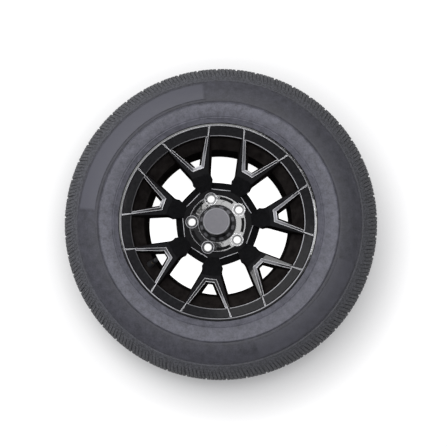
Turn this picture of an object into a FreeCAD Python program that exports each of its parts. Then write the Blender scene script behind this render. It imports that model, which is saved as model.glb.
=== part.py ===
"""Trailer spare wheel: a tubeless tyre on a one-piece alloy wheel with seven Y spokes.

Millimetres. The spin axis is +Z and the outer face looks up; the origin lies on the axis in the
wheel's centre plane, which is also its mounting face, and the wheel rests on its inner sidewall.
"""
import FreeCAD, Part
import math
import os
import re

import Sketcher
from FreeCAD import Placement, Rotation, Vector

doc = FreeCAD.newDocument("trailer_spare_wheel")
sheet = doc.addObject("Spreadsheet::Sheet", "Sizes")

# Driving dimensions: name, value and meaning
SIZES = [
    ("rim_diameter", 380.2, "bead seat diameter of a 15 inch rim"),
    ("rim_width", 152.4, "between the flange faces"),
    ("flange_height", 17.3, "flange above the bead seat"),
    ("flange_roll", 6.0, "slope on the flange's curl"),
    ("flange_lip", 11.5, "flange face to lip plane"),
    ("flange_wall", 6.8, "wall of the flange"),
    ("lip_land", 4.8, "flat land of the lip"),
    ("lip_edge", 1.2, "chamfer of the lip"),
    ("seat_width", 21.0, "bead seat"),
    ("seat_rise", 1.8, "rise of the bead seat's taper"),
    ("seat_corner", 4.0, "corner between seat and flange"),
    ("well_depth", 22.6, "bead seat down to the drop well"),
    ("well_width", 68.0, "flat of the drop well"),
    ("barrel_wall", 5.5, "wall of the barrel"),
    ("slope_shift", 3.0, "inner slope ahead of the outer slope"),
    ("bore_diameter", 81.2, "pilot bore"),
    ("bore_length", 10.0, "pilot bore up to the cap's seat"),
    ("cap_seat_diameter", 84.0, "counterbore for the centre cap"),
    ("edge_break", 0.8, "small chamfers of the hub"),
    ("pad_diameter", 126.0, "raised hub pad"),
    ("pad_height", 18.0, "hub pad above the mounting face"),
    ("shelf_height", 15.0, "shelf round the pad"),
    ("shelf_diameter", 152.0, "shelf round the pad"),
    ("back_diameter", 160.0, "mounting face"),
    ("spoke_tip_drop", 1.0, "spoke tips below the lip plane"),
    ("spoke_sink", 1.4, "spoke tips let into the lip"),
    ("knee_diameter", 240.0, "bend in the spokes' front"),
    ("knee_height", 48.0, "bend in the spokes' front"),
    ("knee_round", 60.0, "radius of that bend"),
    ("spoke_back_height", 28.0, "back of the spokes at the barrel"),
    ("spoke_count", 7, "Y spokes"),
    ("spoke_angle", 6.3, "first spoke from +X"),
    ("cutter_height", 95.0, "front end of the window cutters"),
    ("cutter_start", 3.0, "back end of the window cutters, below the mounting face"),
    ("cutter_reach", 215.0, "outer end of the window cutters"),
    ("window_foot", 95.6, "inner end of a window at the back"),
    ("window_half", 25.2, "half width of a window at the back"),
    ("window_draft", 6.6, "draft of a window's walls, degrees"),
    ("window_round", 16.5, "corners of a window at the back"),
    ("ramp_half", 21.5, "half width of a window's ramp"),
    ("ramp_end", 3.0, "foot of a window's ramp above the mounting face"),
    ("fork_foot", 141.3, "inner end of a fork window at the back"),
    ("fork_half", 1.6, "half width there"),
    ("fork_angle", 25.5, "each side of a fork window from the spoke's middle, degrees"),
    ("fork_draft", 13.0, "draft of a fork window's walls, degrees"),
    ("fork_bevel", 4.6, "depth of a fork window's milled edge at its foot"),
    ("fork_bevel_tip", 2.6, "depth of that edge past the lip"),
    ("fork_bevel_spread", 1.3, "width of that edge for its depth"),
    ("bolt_circle", 114.3, "wheel bolts"),
    ("bolt_count", 5, "wheel bolts"),
    ("bolt_angle", 32.2, "first bolt hole from +X"),
    ("bolt_hole_diameter", 16.4, "wheel bolt holes"),
    ("bolt_seat_diameter", 20.8, "mouth of the 60 degree nut seat"),
    ("bolt_boss_diameter", 27.2, "boss round a bolt hole"),
    ("bolt_boss_rise", 0.8, "boss above the hub pad"),
    ("pocket_width", 6.5, "recess between the bolts"),
    ("pocket_depth", 4.0, "recess between the bolts"),
    ("pocket_span", 32.0, "angle of a recess"),
    ("pocket_inset", 2.6, "recess from the pad's edge"),
    ("tyre_diameter", 669.0, "over the tread"),
    ("tyre_width", 208.0, "over the sidewalls"),
    ("bead_gap", 0.3, "tyre clear of the rim"),
    ("bead_width", 19.0, "bead on its seat"),
    ("bead_height", 9.0, "bead above its seat inside"),
    ("heel_chamfer", 4.5, "heel of the bead"),
    ("guard_diameter", 438.0, "ridge over the flange"),
    ("guard_drop", 7.5, "ridge below the sidewall's widest"),
    ("bulge_inner", 480.0, "widest flat of the sidewall, inside"),
    ("bulge_outer", 536.0, "widest flat of the sidewall, outside"),
    ("shoulder_diameter", 596.0, "ring where the shoulder starts"),
    ("shoulder_drop", 10.5, "that ring below the widest"),
    ("tread_width", 145.0, "tread edge to tread edge"),
    ("tread_drop", 4.0, "tread edge below the crown"),
    ("side_wall", 8.0, "sidewall rubber"),
    ("tread_wall", 14.5, "rubber under the tread surface"),
    ("groove_depth", 8.0, "tread grooves"),
    ("groove_width", 8.0, "tread grooves round the tyre"),
    ("outer_groove", 40.0, "outer groove from the centre plane"),
    ("notch_count", 49, "cross grooves in each shoulder"),
    ("notch_width", 4.4, "cross grooves"),
    ("notch_depth", 3.5, "cross grooves at the tread edge"),
    ("cap_height", 84.0, "front of the centre cap above the mounting face"),
    ("cap_top_diameter", 58.0, "front of the centre cap"),
    ("cap_foot_diameter", 65.0, "foot of the cap's tower"),
    ("cap_wall", 2.4, "wall of the centre cap"),
    ("cap_rim", 2.1, "raised rim of the cap's front"),
    ("cap_edge", 1.2, "chamfer of the cap's front"),
    ("cap_gap", 0.3, "cap clear of its seat"),
    ("skirt_wall", 2.4, "skirt of the cap in its seat"),
    ("crown_diameter", 76.4, "notched ring at the cap's foot"),
    ("crown_rise", 4.5, "notched ring above the cap's foot"),
    ("crown_count", 12, "notches in that ring"),
    ("crown_notch", 6.0, "width of a notch"),
    ("disc_depth", 1.2, "recess for the cap's disc"),
    ("disc_gap", 0.1, "disc clear of its recess"),
    ("ring_width", 2.4, "flat wire of the cap's spring ring"),
    ("ring_thickness", 1.4, "flat wire of the cap's spring ring"),
    ("ring_groove", 0.6, "groove for that ring in the cap's skirt"),
    ("ring_rise", 1.4, "ring above the skirt's end"),
    ("ring_opening", 20.0, "angle between the ring's ends"),
    ("valve_spoke", 4, "spoke that the valve stands behind, counted from the first"),
    ("valve_hole_diameter", 11.5, "valve hole in the barrel"),
    ("valve_gap", 0.3, "valve body clear of the barrel"),
    ("neck_gap", 0.1, "valve body clear of its hole"),
    ("valve_button_diameter", 19.0, "valve body inside the tyre"),
    ("valve_button", 6.5, "thickness of that button"),
    ("valve_shoulder_diameter", 15.0, "valve body outside the barrel"),
    ("valve_neck_diameter", 10.6, "valve body at its tip"),
    ("valve_body_length", 14.0, "valve body past the barrel"),
    ("valve_length", 26.0, "stem past the barrel"),
    ("stem_diameter", 7.7, "stem's threaded tip"),
    ("stem_core_diameter", 6.8, "stem inside the rubber"),
    ("stem_bore", 5.2, "stem's bore for the core"),
    ("stem_seat_bore", 3.6, "stem's lower bore"),
    ("core_depth", 12.5, "core bore below the stem's tip"),
    ("stem_edge", 0.6, "small chamfers of the valve"),
    ("core_gap", 0.05, "core clear of the stem's bore"),
    ("pin_diameter", 1.1, "core pin"),
    ("pin_gap", 0.15, "core pin clear of its guide"),
    ("pin_drop", 0.7, "core pin below the stem's tip"),
    ("collar_diameter", 2.5, "collar of the core pin"),
    ("collar_length", 0.6, "collar of the core pin"),
    ("collar_drop", 2.2, "collar below the stem's tip"),
    ("barrel_length", 6.5, "core barrel"),
    ("barrel_drop", 1.5, "core barrel below the stem's tip"),
    ("barrel_bore", 3.0, "core barrel's hollow, and its neck outside"),
    ("barrel_floor", 1.0, "floor of the core barrel"),
    ("gasket_length", 1.6, "gasket of the core"),
    ("cup_length", 2.2, "cup at the pin's foot"),
    ("cup_gap", 0.05, "cup clear of the core barrel"),
    ("pin_foot", 0.3, "pin past the cup"),
    ("cup_diameter", 3.2, "cup at the pin's foot"),
    ("spring_diameter", 2.0, "spring of the core pin, middle of its wire"),
    ("spring_wire", 0.3, "spring of the core pin"),
    ("spring_turns", 5, "spring of the core pin"),
    ("screw_cap_diameter", 10.0, "screw cap"),
    ("screw_cap_length", 12.0, "screw cap"),
    ("screw_cap_gap", 0.2, "screw cap clear of the stem's thread"),
    ("screw_cap_top", 1.6, "screw cap's end wall"),
    ("screw_cap_seal", 0.8, "washer in the screw cap"),
    ("seal_gap", 0.05, "washer clear of its neighbours"),
    ("seal_bore", 3.0, "washer in the screw cap"),
    ("screw_cap_flutes", 8, "grip flutes of the screw cap"),
    ("flute_diameter", 1.6, "grip flutes of the screw cap"),
]
for row, (alias, value, meaning) in enumerate(SIZES, start=1):
    sheet.set(f"A{row}", meaning)
    sheet.set(f"B{row}", str(value))
    sheet.setAlias(f"B{row}", alias)
doc.recompute()

ALIASES = {alias for alias, value, meaning in SIZES}


def bound(expression):
    """The expression with every size taken from the sheet."""
    def prefixed(match):
        word = match.group(0)
        return f"Sizes.{word}" if word in ALIASES else word
    return re.sub(r"[a-z_]+", prefixed, expression)


def number(expression):
    """What an expression of sizes comes to now."""
    return float(sheet.evalExpression(bound(expression)))


def minus(expression):
    return f"-({expression})"


def plane(body, role):
    """One of a body's own origin planes or axes."""
    return next(item for item in body.Origin.OriginFeatures if item.Role == role)


def new_body(label):
    body = doc.addObject("PartDesign::Body", label)
    body.Label = label
    return body


def new_sketch(body, name, role="XZ_Plane", rise=None, reach=None, turn=None, axis=(0, 0, 1)):
    """An empty sketch on an origin plane, shifted along the plane and off it and turned about an axis."""
    sketch = body.newObject("Sketcher::SketchObject", name)
    sketch.AttachmentSupport = [(plane(body, role), "")]
    sketch.MapMode = "FlatFace"
    if turn is not None:
        sketch.AttachmentOffset = Placement(Vector(), Rotation(Vector(*axis), number(turn)))
        sketch.setExpression("AttachmentOffset.Rotation.Angle", bound(turn))
    if rise is not None:
        sketch.setExpression("AttachmentOffset.Base.z", bound(rise))
    if reach is not None:
        sketch.setExpression("AttachmentOffset.Base.x", bound(reach))
    return sketch


def pin(sketch, geometry, end, name, x_rule, y_rule):
    """Places one point of a sketch by two expressions of sizes."""
    for kind, axis, rule in (("DistanceX", "x", x_rule), ("DistanceY", "y", y_rule)):
        if number(rule) == 0 and rule == "0":
            line = -1 if axis == "y" else -2
            sketch.addConstraint(Sketcher.Constraint("PointOnObject", geometry, end, line))
            continue
        index = sketch.addConstraint(Sketcher.Constraint(kind, -1, 1, geometry, end, number(rule)))
        sketch.renameConstraint(index, f"{name}_{axis}")
        sketch.setExpression(f"Constraints.{name}_{axis}", bound(rule))


def outline(sketch, corners, prefix="corner"):
    """A closed outline of straight runs. A corner is (x, y) or, where it is rounded, (x, y, radius)."""
    count = len(corners)
    spots = [Vector(number(corner[0]), number(corner[1]), 0) for corner in corners]
    trims = []
    for index, corner in enumerate(corners):
        before = (spots[index - 1] - spots[index]).normalize()
        after = (spots[(index + 1) % count] - spots[index]).normalize()
        if len(corner) == 2:
            trims.append((spots[index], spots[index], None))
            continue
        half = before.getAngle(after) / 2
        radius = number(corner[2])
        run = radius / math.tan(half)
        centre = spots[index] + (before + after).normalize() * (radius / math.sin(half))
        trims.append((spots[index] + before * run, spots[index] + after * run, centre))
    lines = []
    for index in range(count):
        start = trims[index][1]
        finish = trims[(index + 1) % count][0]
        lines.append(sketch.addGeometry(Part.LineSegment(start, finish)))
    for index, corner in enumerate(corners):
        incoming = lines[index - 1]
        outgoing = lines[index]
        name = f"{prefix}_{index}"
        if len(corner) == 2:
            sketch.addConstraint(Sketcher.Constraint("Coincident", incoming, 2, outgoing, 1))
            pin(sketch, outgoing, 1, name, corner[0], corner[1])
            continue
        first, last, centre = trims[index]
        radius = number(corner[2])
        left_turn = (spots[index] - spots[index - 1]).cross(last - spots[index]).z > 0
        begin, end = (first, last) if left_turn else (last, first)
        circle = Part.Circle(centre, Vector(0, 0, 1), radius)
        angles = [math.atan2(spot.y - centre.y, spot.x - centre.x) for spot in (begin, end)]
        arc = sketch.addGeometry(Part.ArcOfCircle(circle, angles[0], angles[1]))
        tip = sketch.addGeometry(Part.Point(spots[index]), True)
        pin(sketch, tip, 1, name, corner[0], corner[1])
        sketch.addConstraint(Sketcher.Constraint("PointOnObject", tip, 1, incoming))
        sketch.addConstraint(Sketcher.Constraint("PointOnObject", tip, 1, outgoing))
        near, far = (1, 2) if left_turn else (2, 1)
        sketch.addConstraint(Sketcher.Constraint("Tangent", incoming, 2, arc, near))
        sketch.addConstraint(Sketcher.Constraint("Tangent", arc, far, outgoing, 1))
        rounding = sketch.addConstraint(Sketcher.Constraint("Radius", arc, radius))
        sketch.renameConstraint(rounding, f"{name}_r")
        sketch.setExpression(f"Constraints.{name}_r", bound(corner[2]))


def turned(body, name, corners):
    """Adds a ring or disc: an outline of (radius, height) corners turned about the body's Z axis."""
    sketch = new_sketch(body, f"{name}_section")
    outline(sketch, corners)
    ring = body.newObject("PartDesign::Revolution", name)
    ring.Profile = sketch
    ring.ReferenceAxis = (sketch, ["V_Axis"])
    ring.Angle = 360
    doc.recompute()
    return ring


def arc_cut(body, name, outlines, span, turn="0"):
    """Cuts outlines of (radius, height) corners out of a body over an angle about its Z axis."""
    sketch = new_sketch(body, f"{name}_section", turn=turn, axis=(0, 1, 0))
    for index, corners in enumerate(outlines):
        outline(sketch, corners, f"outline_{index}")
    cut = body.newObject("PartDesign::Groove", name)
    cut.Profile = sketch
    cut.ReferenceAxis = (sketch, ["V_Axis"])
    cut.Midplane = True
    cut.setExpression("Angle", bound(span))
    doc.recompute()
    return cut


def round_sketch(body, name, distance, diameter, height, turn):
    """A circle at a distance from the Z axis."""
    sketch = new_sketch(body, name, "XY_Plane", height, turn=turn)
    start = Vector(number(distance), 0, 0)
    circle = sketch.addGeometry(Part.Circle(start, Vector(0, 0, 1), number(diameter) / 2))
    pin(sketch, circle, 3, "centre", distance, "0")
    index = sketch.addConstraint(Sketcher.Constraint("Diameter", circle, number(diameter)))
    sketch.renameConstraint(index, "width")
    sketch.setExpression("Constraints.width", bound(diameter))
    return sketch


def repeated(body, name, features, count):
    """Repeats features evenly round the body's Z axis."""
    pattern = body.newObject("PartDesign::PolarPattern", name)
    pattern.Originals = features
    pattern.Axis = (plane(body, "Z_Axis"), [""])
    pattern.Angle = 360
    pattern.setExpression("Occurrences", bound(count))
    body.Tip = pattern
    doc.recompute()
    return pattern


def lower_half(corners):
    """The mirror image of an outline's upper half, followed on below the centre plane."""
    return [(corner[0], minus(corner[1]), *corner[2:]) for corner in reversed(corners)]


SEAT_R = "(rim_diameter / 2)"
FLANGE_R = "(rim_diameter / 2 + flange_height)"
FLANGE_Z = "(rim_width / 2)"
LIP_R = "(rim_diameter / 2 + flange_height - lip_land)"
LIP_Z = "(rim_width / 2 + flange_lip)"
SEAT_Z = "(rim_width / 2 - seat_width)"
WELL_R = "(rim_diameter / 2 - well_depth)"
WELL_Z = "(well_width / 2)"
BORE_R = "(bore_diameter / 2)"
CAP_SEAT_R = "(cap_seat_diameter / 2)"


def build_tyre():
    body = new_body("tyre")
    crown = "(tyre_diameter / 2)"
    widest = "(tyre_width / 2)"
    edge_r = f"({crown} - tread_drop)"
    edge_z = "(tread_width / 2)"
    bead_r = f"({SEAT_R} + bead_gap)"
    heel_z = f"({FLANGE_Z} - bead_gap)"
    guard_r = f"({FLANGE_R} + bead_gap)"
    shoulder_r = "(shoulder_diameter / 2)"
    shoulder_z = f"({widest} - shoulder_drop)"
    groove_foot = f"({crown} - groove_depth)"
    groove_wall = "(outer_groove + groove_width / 2)"
    outside = [
        (bead_r, f"{FLANGE_Z} - bead_width"),
        (bead_r, f"{heel_z} - heel_chamfer"),
        (f"{bead_r} + heel_chamfer", heel_z),
        (f"{guard_r} - flange_roll", heel_z),
        (guard_r, f"{heel_z} + flange_roll"),
        (guard_r, f"{LIP_Z} + lip_edge"),
        ("guard_diameter / 2", f"{widest} - guard_drop"),
        ("bulge_inner / 2", widest),
        ("bulge_outer / 2", widest),
        (shoulder_r, shoulder_z),
        (edge_r, edge_z),
        (f"{crown} - tread_drop / 2", groove_wall),
        (groove_foot, groove_wall),
        (groove_foot, "outer_groove - groove_width / 2"),
        (crown, "outer_groove - groove_width / 2"),
        (crown, "groove_width / 2"),
        (groove_foot, "groove_width / 2"),
    ]
    inside = [
        (f"{crown} - tread_wall", f"{edge_z} - tread_wall"),
        ("bulge_outer / 2", f"{widest} - side_wall"),
        ("bulge_inner / 2", f"{widest} - side_wall"),
        (f"{bead_r} + bead_height", f"{FLANGE_Z} - bead_width"),
    ]
    turned(body, "casing", outside + lower_half(outside) + lower_half(inside) + inside)

    notch_foot = f"({edge_r} - notch_depth)"
    notch_top = f"({crown} + notch_depth)"
    notch_side = f"({shoulder_z} + notch_depth)"
    notch = [
        (shoulder_r, shoulder_z),
        (notch_foot, f"{edge_z} - notch_depth"),
        (notch_foot, "outer_groove"),
        (notch_top, "outer_groove"),
        (notch_top, notch_side),
        (shoulder_r, notch_side),
    ]
    cut = arc_cut(body, "shoulder_notch", [notch, lower_half(notch)], f"notch_width / {edge_r} * 180 / pi")
    repeated(body, "shoulder_notches", [cut], "notch_count")
    return body


def drafted_cut(body, name, corners, draft, turn):
    """Cuts a window from the back towards the front, with walls that lean outwards."""
    sketch = new_sketch(body, f"{name}_outline", "XY_Plane", "-cutter_start", turn=turn)
    outline(sketch, corners)
    cut = body.newObject("PartDesign::Pocket", name)
    cut.Profile = sketch
    cut.Reversed = True
    cut.setExpression("Length", bound("cutter_height + cutter_start"))
    cut.setExpression("TaperAngle", bound(draft))
    doc.recompute()
    return cut


TIP_R = f"({LIP_R} + spoke_sink)"
TIP_Z = f"({LIP_Z} - spoke_tip_drop)"
KNEE_R = "(knee_diameter / 2)"
FRONT_SLOPE = f"(({TIP_Z} - knee_height) / ({TIP_R} - {KNEE_R}))"


def front_height(radius):
    """Height of the spokes' front past the knee."""
    return f"(knee_height + ({radius} - {KNEE_R}) * {FRONT_SLOPE})"


def fork_size(height):
    """A fork window's foot, and its half width there, at a height."""
    grown = f"(({height} + cutter_start) * tan(fork_draft))"
    foot = f"(fork_foot - {grown})"
    half = f"(fork_half + {grown} * (1 - sin(fork_angle)) / cos(fork_angle))"
    return foot, half


# Where a fork window's foot meets the spokes' front
FORK_FRONT_R = (f"((fork_foot - (knee_height - {KNEE_R} * {FRONT_SLOPE} + cutter_start) * tan(fork_draft))"
                f" / (1 + {FRONT_SLOPE} * tan(fork_draft)))")


def fork_bevel(body):
    """The milled edge round a fork window, which narrows towards the lip."""
    run = f"(cutter_reach - {FORK_FRONT_R})"
    end_foot, end_half = fork_size(front_height("cutter_reach"))
    tip_half = f"({end_half} + (cutter_reach - {end_foot}) * tan(fork_angle))"
    foot_z = front_height(FORK_FRONT_R)
    tip_z = front_height(f"sqrt(cutter_reach ^ 2 + {tip_half} ^ 2)")
    sketches = []
    for name, side in (("low", -1), ("high", 1)):
        foot_height = f"({foot_z} + {side} * fork_bevel)"
        tip_height = f"({tip_z} + {side} * fork_bevel_tip)"
        spread = f"(fork_bevel_spread * fork_bevel * {1 + side})"
        tip_spread = f"(fork_bevel_spread * fork_bevel_tip * {1 + side})"
        tilt = f"atan(({tip_height} - {foot_height}) / {run})"
        foot, half = fork_size(foot_height)
        tip_foot, tip = fork_size(tip_height)
        near = f"({foot} - {spread} - {FORK_FRONT_R}) / cos({tilt})"
        far = f"{run} / cos({tilt})"
        near_half = f"({half} + {spread} / 2)"
        far_half = f"({tip} + (cutter_reach - {tip_foot}) * tan(fork_angle) + {tip_spread})"
        sketch = new_sketch(body, f"fork_bevel_{name}", "XY_Plane", foot_height, FORK_FRONT_R,
                            tilt, (0, -1, 0))
        outline(sketch, [
            (near, minus(near_half)),
            (far, minus(far_half)),
            (far, far_half),
            (near, near_half),
        ])
        sketches.append(sketch)
    cut = body.newObject("PartDesign::SubtractiveLoft", "fork_bevel")
    cut.Profile = sketches[0]
    cut.Sections = sketches[1:]
    cut.Ruled = True
    doc.recompute()
    return cut


def face_disc(body):
    """Hub, hub pad and the spokes' dished face, before the windows are cut."""
    wall_r = f"({SEAT_R} - seat_rise - barrel_wall / 2)"
    well_r = f"({WELL_R} - barrel_wall / 2)"
    turned(body, "face_disc", [
        (f"{BORE_R} + edge_break", "0"),
        ("back_diameter / 2", "0"),
        (well_r, "spoke_back_height"),
        (well_r, f"{WELL_Z} + slope_shift / 2"),
        (wall_r, f"{SEAT_Z} + slope_shift / 2"),
        (wall_r, f"{FLANGE_Z} - seat_corner"),
        (TIP_R, f"{FLANGE_Z} + flange_wall"),
        (TIP_R, TIP_Z),
        (KNEE_R, "knee_height", "knee_round"),
        ("shelf_diameter / 2", "shelf_height"),
        ("pad_diameter / 2", "shelf_height"),
        ("pad_diameter / 2", "pad_height - edge_break"),
        ("pad_diameter / 2 - edge_break", "pad_height"),
        (f"{CAP_SEAT_R} + edge_break", "pad_height"),
        (CAP_SEAT_R, "pad_height - edge_break"),
        (CAP_SEAT_R, "bore_length"),
        (BORE_R, "bore_length"),
        (BORE_R, "edge_break"),
    ])


def spoke_windows(body):
    """Seven windows between the spokes and a fork window in each spoke."""
    between = "180 / spoke_count"
    window = drafted_cut(body, "window", [
        ("window_foot", "-window_half", "window_round"),
        ("cutter_reach", "-window_half"),
        ("cutter_reach", "window_half"),
        ("window_foot", "window_half", "window_round"),
    ], "window_draft", between)
    fork_tip = "(fork_half + (cutter_reach - fork_foot) * tan(fork_angle))"
    fork = drafted_cut(body, "fork_window", [
        ("fork_foot", "-fork_half"),
        ("cutter_reach", minus(fork_tip)),
        ("cutter_reach", fork_tip),
        ("fork_foot", "fork_half"),
    ], "fork_draft", "0")
    bevel = fork_bevel(body)
    ramp_slope = "(shelf_height - ramp_end) / (window_foot - shelf_diameter / 2)"
    sketch = new_sketch(body, "ramp_section", turn=between, axis=(0, 1, 0))
    outline(sketch, [
        ("shelf_diameter / 2", "shelf_height"),
        ("window_foot + window_round", f"ramp_end - window_round * {ramp_slope}"),
        ("window_foot + window_round", "cutter_height"),
        ("shelf_diameter / 2", "cutter_height"),
    ])
    ramp = body.newObject("PartDesign::Pocket", "ramp")
    ramp.Profile = sketch
    ramp.Midplane = True
    ramp.setExpression("Length", bound("2 * ramp_half"))
    doc.recompute()
    repeated(body, "spokes", [window, fork, bevel, ramp], "spoke_count")


def barrel(body):
    """Rim barrel with its drop well, bead seats and flanges, the same on both sides."""
    inner_r = f"({SEAT_R} - seat_rise - barrel_wall)"
    outside = [
        (FLANGE_R, f"{FLANGE_Z} + flange_roll"),
        (f"{FLANGE_R} - flange_roll", FLANGE_Z),
        (f"{SEAT_R} + seat_corner", FLANGE_Z),
        (SEAT_R, f"{FLANGE_Z} - seat_corner"),
        (f"{SEAT_R} - seat_rise", SEAT_Z),
        (WELL_R, WELL_Z),
    ]
    inside = [
        (f"{WELL_R} - barrel_wall", f"{WELL_Z} + slope_shift"),
        (inner_r, f"{SEAT_Z} + slope_shift"),
        (inner_r, FLANGE_Z),
        (f"{LIP_R} - (flange_lip - flange_wall) / 2", f"{FLANGE_Z} + flange_wall"),
        (LIP_R, LIP_Z),
        (f"{FLANGE_R} - lip_edge", LIP_Z),
        (FLANGE_R, f"{LIP_Z} - lip_edge"),
    ]
    turned(body, "barrel", outside + lower_half(outside) + lower_half(inside) + inside)


def bolt_cut(body, name, kind, turn, height):
    """A round cutter that stands on the bolt circle."""
    cut = body.newObject(kind, name)
    cut.AttachmentSupport = [(plane(body, "XY_Plane"), "")]
    cut.MapMode = "FlatFace"
    cut.setExpression("AttachmentOffset.Base.x", bound(f"bolt_circle / 2 * cos({turn})"))
    cut.setExpression("AttachmentOffset.Base.y", bound(f"bolt_circle / 2 * sin({turn})"))
    cut.setExpression("AttachmentOffset.Base.z", bound(height))
    return cut


def bolt_bosses(body):
    """Bosses with seated bolt holes, and the recesses between them."""
    turn = "bolt_angle - spoke_angle"
    boss_top = "(pad_height + bolt_boss_rise)"
    boss = body.newObject("PartDesign::Pad", "bolt_boss")
    boss.Profile = round_sketch(body, "bolt_boss_circle", "bolt_circle / 2", "bolt_boss_diameter",
                                "bore_length", turn)
    boss.setExpression("Length", bound(f"{boss_top} - bore_length"))
    doc.recompute()
    repeated(body, "bolt_bosses", [boss], "bolt_count")
    depth = "((bolt_seat_diameter - bolt_hole_diameter) / 2 / tan(30))"
    hole = bolt_cut(body, "bolt_hole", "PartDesign::SubtractiveCylinder", turn, "-cutter_start")
    hole.setExpression("Radius", bound("bolt_hole_diameter / 2"))
    hole.setExpression("Height", bound(f"{boss_top} + 2 * cutter_start"))
    doc.recompute()
    seat = bolt_cut(body, "nut_seat", "PartDesign::SubtractiveCone", turn, f"{boss_top} - {depth}")
    seat.setExpression("Radius1", bound("bolt_hole_diameter / 2"))
    seat.setExpression("Radius2", bound("bolt_seat_diameter / 2 + bolt_boss_rise * tan(30)"))
    seat.setExpression("Height", bound(f"{depth} + bolt_boss_rise"))
    doc.recompute()
    repeated(body, "bolt_holes", [hole, seat], "bolt_count")
    outer = "(pad_diameter / 2 - pocket_inset)"
    recess = arc_cut(body, "pad_recess", [[
        (f"{outer} - pocket_width", "pad_height - pocket_depth"),
        (outer, "pad_height - pocket_depth"),
        (outer, "pad_height + pocket_depth"),
        (f"{outer} - pocket_width", "pad_height + pocket_depth"),
    ]], "pocket_span", f"{turn} + 180 / bolt_count")
    repeated(body, "pad_recesses", [recess], "bolt_count")


SLOPE_RUN = "(well_depth - seat_rise)"
SLOPE_RISE = f"({SEAT_Z} - {WELL_Z})"
SLOPE_LENGTH = f"sqrt({SLOPE_RUN} ^ 2 + {SLOPE_RISE} ^ 2)"
SLOPE_WALL = f"((barrel_wall * {SLOPE_RISE} + slope_shift * {SLOPE_RUN}) / {SLOPE_LENGTH})"


def valve_frame(turn):
    """Place of the valve: its Z axis stands on the middle of the barrel's slope, towards the outer face."""
    radius = number(f"{WELL_R} - barrel_wall + {SLOPE_RUN} / 2")
    height = number(f"{WELL_Z} + slope_shift + {SLOPE_RISE} / 2")
    lean = math.degrees(math.atan2(number(SLOPE_RISE), number(SLOPE_RUN)))
    round_axis = Rotation(Vector(0, 0, 1), number(turn))
    inward = Rotation(Vector(0, 1, 0), -lean)
    return Placement(round_axis.multVec(Vector(radius, 0, height)), round_axis * inward)


def valve_hole(body):
    hole = body.newObject("PartDesign::SubtractiveCylinder", "valve_hole")
    hole.AttachmentSupport = [(plane(body, "XY_Plane"), "")]
    hole.MapMode = "FlatFace"
    start = Placement(Vector(0, 0, -2 * number(SLOPE_WALL)), Rotation())
    hole.AttachmentOffset = valve_frame("valve_spoke * 360 / spoke_count") * start
    hole.setExpression("Radius", bound("valve_hole_diameter / 2"))
    hole.setExpression("Height", bound(f"3 * {SLOPE_WALL}"))
    doc.recompute()


def build_wheel():
    body = new_body("wheel")
    face_disc(body)
    spoke_windows(body)
    barrel(body)
    bolt_bosses(body)
    valve_hole(body)
    body.setExpression("Placement.Rotation.Angle", bound("spoke_angle"))
    doc.recompute()
    return body


CAP_R = "(cap_top_diameter / 2)"
CAP_RECESS_R = "(cap_top_diameter / 2 - cap_rim)"
SKIRT_R = "(cap_seat_diameter / 2 - cap_gap)"
SKIRT_BORE_R = "(cap_seat_diameter / 2 - cap_gap - skirt_wall)"
RING_LOW = "(bore_length + ring_rise)"
RING_HIGH = "(bore_length + ring_rise + ring_width)"


def build_centre_cap():
    """Tall hollow cap: a tower on a notched foot, and a skirt that stands in the wheel's hub."""
    body = new_body("centre_cap")
    foot_r = "(cap_foot_diameter / 2)"
    web_z = "(pad_height - cap_wall)"
    recess_z = "(cap_height - disc_depth)"
    groove_r = f"({SKIRT_BORE_R} + ring_groove)"
    turned(body, "shell", [
        ("0", recess_z),
        (CAP_RECESS_R, recess_z),
        (CAP_RECESS_R, "cap_height"),
        (f"{CAP_R} - cap_edge", "cap_height"),
        (CAP_R, "cap_height - cap_edge"),
        (foot_r, "pad_height + crown_rise"),
        ("crown_diameter / 2", "pad_height + crown_rise"),
        ("crown_diameter / 2", "pad_height"),
        (f"{SKIRT_R} - edge_break", "pad_height"),
        (SKIRT_R, "pad_height - edge_break"),
        (SKIRT_R, "bore_length"),
        (SKIRT_BORE_R, "bore_length"),
        (SKIRT_BORE_R, RING_LOW),
        (groove_r, RING_LOW),
        (groove_r, RING_HIGH),
        (SKIRT_BORE_R, RING_HIGH),
        (SKIRT_BORE_R, web_z),
        (f"{foot_r} - cap_wall", web_z),
        (f"{CAP_R} - cap_wall", f"{recess_z} - cap_wall"),
        ("0", f"{recess_z} - cap_wall"),
    ])
    past = "crown_rise"
    notch = arc_cut(body, "crown_notch", [[
        (f"{foot_r} + edge_break", "pad_height"),
        (f"crown_diameter / 2 + {past}", "pad_height"),
        (f"crown_diameter / 2 + {past}", f"pad_height + crown_rise + {past}"),
        (f"{foot_r} + edge_break", f"pad_height + crown_rise + {past}"),
    ]], "crown_notch / (crown_diameter / 2) * 180 / pi")
    repeated(body, "crown_notches", [notch], "crown_count")
    return body


def build_cap_disc():
    body = new_body("centre_cap_disc")
    disc_r = f"({CAP_RECESS_R} - disc_gap)"
    turned(body, "disc", [
        ("0", "cap_height - disc_depth"),
        (disc_r, "cap_height - disc_depth"),
        (disc_r, "cap_height - disc_depth / 2"),
        (f"{disc_r} - disc_depth / 2", "cap_height"),
        ("0", "cap_height"),
    ])
    return body


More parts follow.
